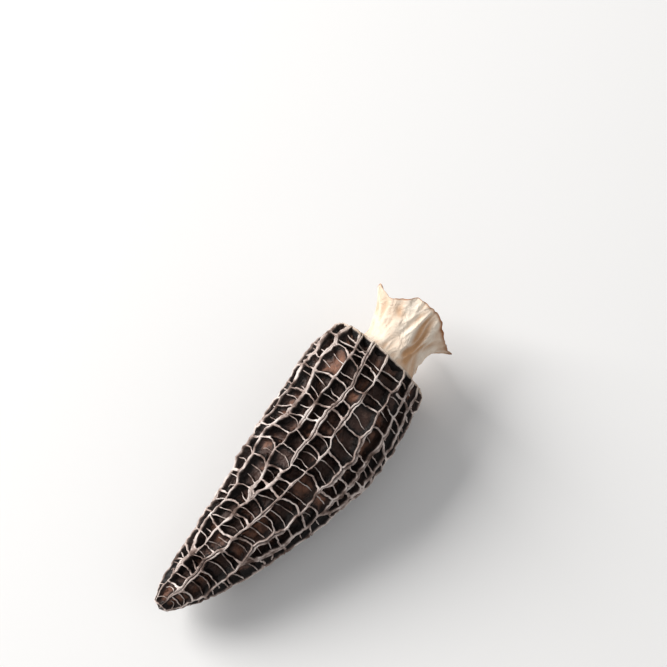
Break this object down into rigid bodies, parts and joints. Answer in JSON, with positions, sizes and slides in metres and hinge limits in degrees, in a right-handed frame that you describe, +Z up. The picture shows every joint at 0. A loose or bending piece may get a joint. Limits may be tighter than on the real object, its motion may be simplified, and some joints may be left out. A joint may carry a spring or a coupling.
{
  "type": "dried morel mushroom",
  "caption": "Hollow dried fungus body lying on its side: a long tapering cap with a raised net of wavy ribs and deep pits, on a short pale stem that flares to a torn open end.",
  "frame": {"origin": "middle of the body's bounding box at the height of the surface it lies on", "axes": "+X along the body from the cap's tip to the open end of the stem, +Z up from the surface it lies on, +Y to the side"},
  "size_m": [0.0786, 0.0272, 0.0246],
  "materials": {
    "cap_flesh": "matt, dried and wrinkled, dark brown with paler crests",
    "stem_flesh": "matt, dried, ivory to tan"
  },
  "bodies": {
    "root": {"morel": "cap_flesh"}
  },
  "joints": []
}
